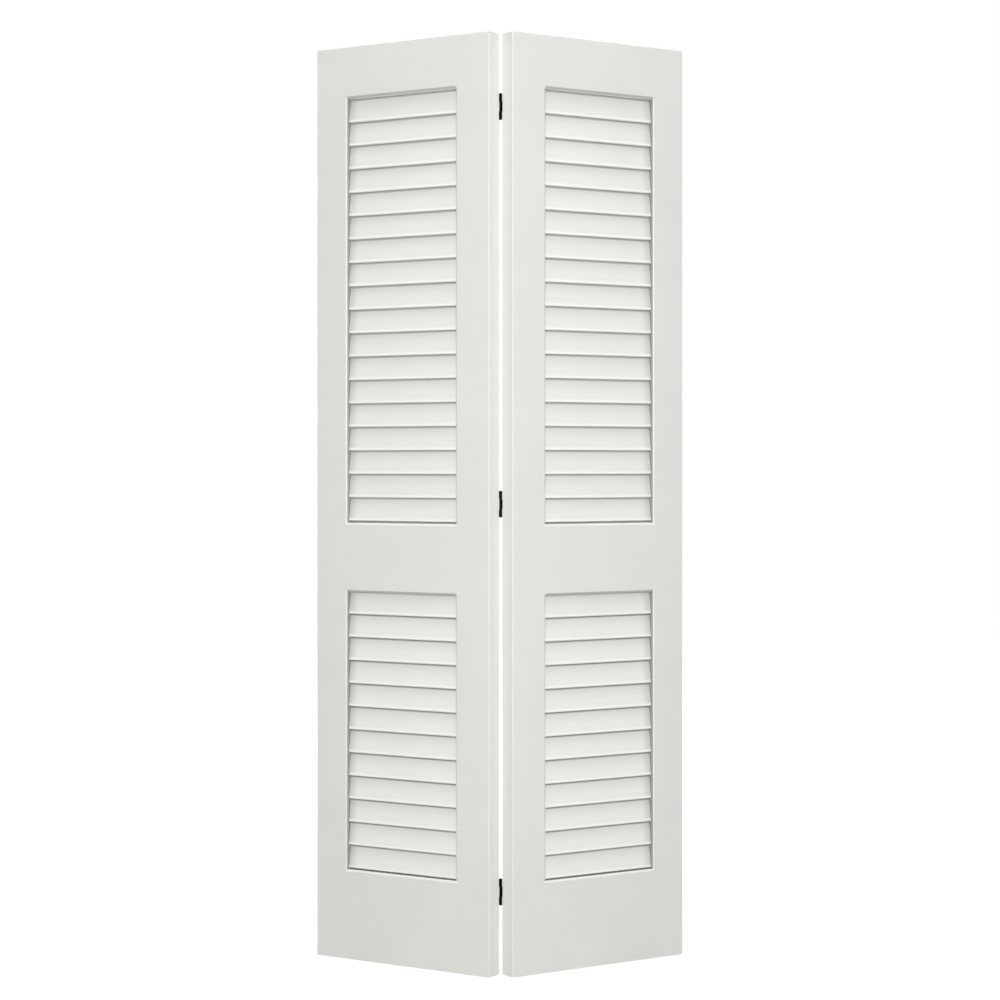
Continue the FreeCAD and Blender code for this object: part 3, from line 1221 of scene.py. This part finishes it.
@dataclass(frozen=True)
class DoorLeaf:
    """One leaf: its stiles, rails, louvres and tenons."""

    leaf: Leaf
    lower: Opening = Opening(sill=197.0, head=807.8, pitch=50.9, sill_gap=2.2, head_strip=False)
    upper: Opening = Opening(sill=960.5, head=1894.2, pitch=51.6, sill_gap=3.5, head_strip=True)
    arris: float = 2.5  # of the front edge at the seam
    # The frames' and the slats' enamels carry painted shade and painted highlights.
    stile_paint_and_light: SatinEnamelWithPaintedLight = SatinEnamelWithPaintedLight(painted_wall_shade_depths=(1.6, 17.0), outer_wall_only=True)
    rail_paint_and_light: SatinEnamelWithPaintedLight = SatinEnamelWithPaintedLight()
    # The lower slats get a lighter copy of the slat enamel as painted light, and a darker painted
    # shadow behind each nose.
    lower_slat_paint_and_light: SlatEnamelWithPaintedLight = SlatEnamelWithPaintedLight(
        colour="#F2F2EF", shade="#EDEDEA", painted_lap_shadow_colour="#979692", painted_lap_shadow_depth=13.06
    )
    upper_slat_paint_and_light: SlatEnamelWithPaintedLight = SlatEnamelWithPaintedLight()
    tenon_finish: BareBeech = BareBeech()

    def build(self) -> None:
        """Makes every piece of the leaf."""
        leaf, lower, upper = self.leaf, self.lower, self.upper
        name = leaf.side.name.lower()
        upright = self.stile_paint_and_light.material(f"SatinEnamel.{name}.stiles", leaf, Grain.UPRIGHT)
        across = self.rail_paint_and_light.material(f"SatinEnamel.{name}.rails", leaf, Grain.ACROSS)
        tenon = self.tenon_finish.material(f"BareBeech.{name}.tenons", leaf)
        bored = (leaf.side is Side.PIVOT, True)
        stiles = {
            "hinge_stile": Stile(leaf, leaf.seam_edge, leaf.hinge_wall, front_arris=self.arris),
            "outer_stile": Stile(leaf, leaf.outer_edge, leaf.outer_wall, bored),
        }
        for piece, stile in stiles.items():
            show(f"{name}_{piece}", [stile.shell()], leaf, upright)
        rails = {
            "bottom_rail": Rail(leaf, 0.0, lower.sill),
            "lock_rail": Rail(leaf, lower.head, upper.sill),
            "top_rail": Rail(leaf, upper.head, leaf.height),
        }
        for piece, rail in rails.items():
            show(f"{name}_{piece}", [rail.shell()], leaf, across)
            dress(f"{name}_{piece}_tenons", tenon)
        # Each opening's slats, in an enamel with painted highlights and painted shadows.
        for place, opening, finish in (
            ("lower", lower, self.lower_slat_paint_and_light), ("upper", upper, self.upper_slat_paint_and_light),
        ):
            slatted = finish.material(f"SatinEnamel.{name}.{place}_slats", leaf, Grain.ACROSS)
            for piece, shells in Louvres(leaf, opening).pieces().items():
                show(f"{name}_{place}_{piece}", shells, leaf, slatted)


@dataclass(frozen=True)
class HingeSet:
    """The three hinges at the seam."""

    pivot_leaf: Leaf
    lead_leaf: Leaf
    heights: tuple[tuple[str, float], ...] = (
        ("top", 1852.5), ("middle", 1003.5), ("bottom", 175.5),
    )
    finish: BlackPaintedSteel = BlackPaintedSteel()

    def build(self) -> None:
        """Makes every piece of the hinges."""
        steel = self.finish.material("BlackPaintedSteel")
        for name, height in self.heights:
            hinge = Hinge(height)
            for leaf in (self.pivot_leaf, self.lead_leaf):
                knuckles = [hinge.knuckle(*span) for span in hinge.spans(leaf.side is Side.PIVOT)]
                pieces = {"plate": [hinge.plate(), *knuckles], "screws": hinge.screws()}
                for piece, shells in pieces.items():
                    node = f"{name}_hinge_{leaf.side.name.lower()}_{piece}"
                    show(node, shells, leaf, steel)
            show(f"{name}_hinge_pin", [hinge.pin()], self.pivot_leaf, steel)


# Studio


@dataclass(frozen=True)
class SoftBox:
    """A square area lamp, in metres and watts."""

    name: str
    place: Point
    size: float
    power: float

    def build(self, target: Point) -> None:
        """Hangs the lamp.

        Args:
            target: Where it points.
        """
        lamp = bpy.data.lights.new(self.name, "AREA")
        lamp.shape, lamp.size, lamp.energy = "SQUARE", self.size, self.power
        holder = put(self.name, lamp)
        holder.location = self.place
        holder.rotation_mode = "QUATERNION"
        beam = Vector(target) - Vector(self.place)
        holder.rotation_quaternion = beam.to_track_quat("-Z", "Y")


def seen_directly(tree: Tree) -> Socket:
    """One for what the camera, a reflection or a refraction sees, and nought for other light.

    Args:
        tree: The nodes of the material or the world.

    Returns:
        That value.
    """
    path = add_node(tree, "LightPath")
    seen = path["Is Camera Ray"]
    for ray in ("Is Glossy Ray", "Is Transmission Ray"):
        seen = add_node(tree, "Math", {0: seen, 1: path[ray]}, operation="MAXIMUM")[0]
    return seen


@dataclass(frozen=True)
class Studio:
    """A pale floor, soft light on both faces that is stronger from above, and a level camera."""

    lens: float = 85.27
    sensor_width: float = 36.0
    camera_place: Point = (-0.041, -5.1594, 1.0872)
    camera_turn: float = -0.0078  # radians to the left of straight on
    camera_shift: float = -0.035
    floor_half: float = 9.0
    floor_colour: str = "#B6B6B4"
    floor_shading: float = 0.15  # how much of the light on the floor the camera sees
    floor_glow: Span = (0.88, 1.0)  # of the floor's white, by the door and far off
    floor_spread: Span = (0.7, 2.4)  # metres from the door between those two
    sky_glow: Span = (0.2, 0.35)  # of what lights the door, level and overhead
    lamp_target: Point = (0.0, 0.0, 1.1)
    lamps: tuple[SoftBox, ...] = (
        SoftBox("FrontSoftBox", (0.0, -3.985, 1.449), 1.8, 84.0),
        SoftBox("LeftSoftBox", (-2.433, -3.476, 5.342), 2.7, 31.0),
        SoftBox("RightSoftBox", (2.433, -3.476, 5.342), 2.7, 46.0),
        SoftBox("TopSoftBox", (0.0, -1.043, 7.009), 2.7, 170.0),
        SoftBox("BackLeftSoftBox", (-2.0, 4.8, 1.6), 1.8, 80.0),
        SoftBox("BackRightSoftBox", (2.0, 4.8, 1.6), 1.8, 80.0),
    )

    def camera(self) -> None:
        """Stands the camera before the seam, looking level."""
        camera = bpy.data.cameras.new("Camera")
        camera.lens, camera.sensor_width = self.lens, self.sensor_width
        camera.shift_y = self.camera_shift
        stand = put("Camera", camera)
        stand.location = self.camera_place
        stand.rotation_euler = (math.pi / 2, 0.0, self.camera_turn)
        bpy.context.scene.camera = stand

    def sky(self) -> None:
        """A white backdrop that lights the door more from above than from the sides."""
        world = bpy.data.worlds.new("Studio")
        world.use_nodes = True
        bpy.context.scene.world = world
        tree = world.node_tree
        tree.nodes.clear()
        bearing = add_node(tree, "TexCoord")["Generated"]
        height = add_node(tree, "SeparateXYZ", {0: bearing})["Z"]
        low, high = self.sky_glow
        glow = add_node(tree, "MapRange", {"Value": height, "To Min": low, "To Max": high})[0]
        strength = add_node(
            tree, "Mix", {0: seen_directly(tree), 2: glow, 3: 1.0}, data_type="FLOAT"
        )[0]
        light = add_node(tree, "Background", {"Color": WHITE, "Strength": strength})[0]
        add_node(tree, "OutputWorld", {"Surface": light})

    def floor(self) -> None:
        """A pale floor that keeps the door's shadow, and that the camera sees near white."""
        half = self.floor_half
        mesh = bpy.data.meshes.new("Floor")
        corners = [(-half, -half, 0.0), (half, -half, 0.0), (half, half, 0.0), (-half, half, 0.0)]
        mesh.from_pydata(corners, [], [(0, 1, 2, 3)])
        material, tree = new_tree("PaleStudioFloor")
        lit, faint = (
            add_node(tree, "BsdfDiffuse", {"Color": colour})[0]
            for colour in (linear(self.floor_colour), (*[self.floor_shading] * 3, 1.0))
        )
        place = add_node(tree, "TexCoord")["Object"]
        away = add_node(tree, "VectorMath", {0: place}, operation="LENGTH")["Value"]
        (near, far), (dim, white) = self.floor_spread, self.floor_glow
        strength = add_node(
            tree, "MapRange",
            {"Value": away, "From Min": near, "From Max": far, "To Min": dim, "To Max": white},
        )[0]
        glow = add_node(tree, "Emission", {"Color": WHITE, "Strength": strength})[0]
        seen = add_node(tree, "AddShader", {0: faint, 1: glow})[0]
        mixed = add_node(tree, "MixShader", {0: seen_directly(tree), 1: lit, 2: seen})[0]
        add_node(tree, "OutputMaterial", {"Surface": mixed})
        mesh.materials.append(material)
        put("Floor", mesh)

    def build(self) -> None:
        """Sets up the whole studio."""
        self.camera()
        self.sky()
        self.floor()
        for lamp in self.lamps:
            lamp.build(self.lamp_target)
        bpy.context.scene.view_settings.view_transform = "Standard"


def main() -> None:
    """Builds the studio, the two leaves and the hinges."""
    logging.basicConfig(level=logging.INFO, format="%(name)s: %(message)s")
    Studio().build()
    fold = next(joint for joint in frame["joints"] if joint["name"] == "fold_hinge")
    swing = -math.radians(fold["range_deg"][0]) / 2  # both leaves swing alike at rest
    axis_depth = fold["pos_m"][1] / MM
    pivot, lead = (Leaf(side, swing, axis_depth) for side in (Side.PIVOT, Side.LEAD))
    for leaf in (pivot, lead):
        DoorLeaf(leaf).build()
    HingeSet(pivot, lead).build()


if __name__ == "__main__":
    main()
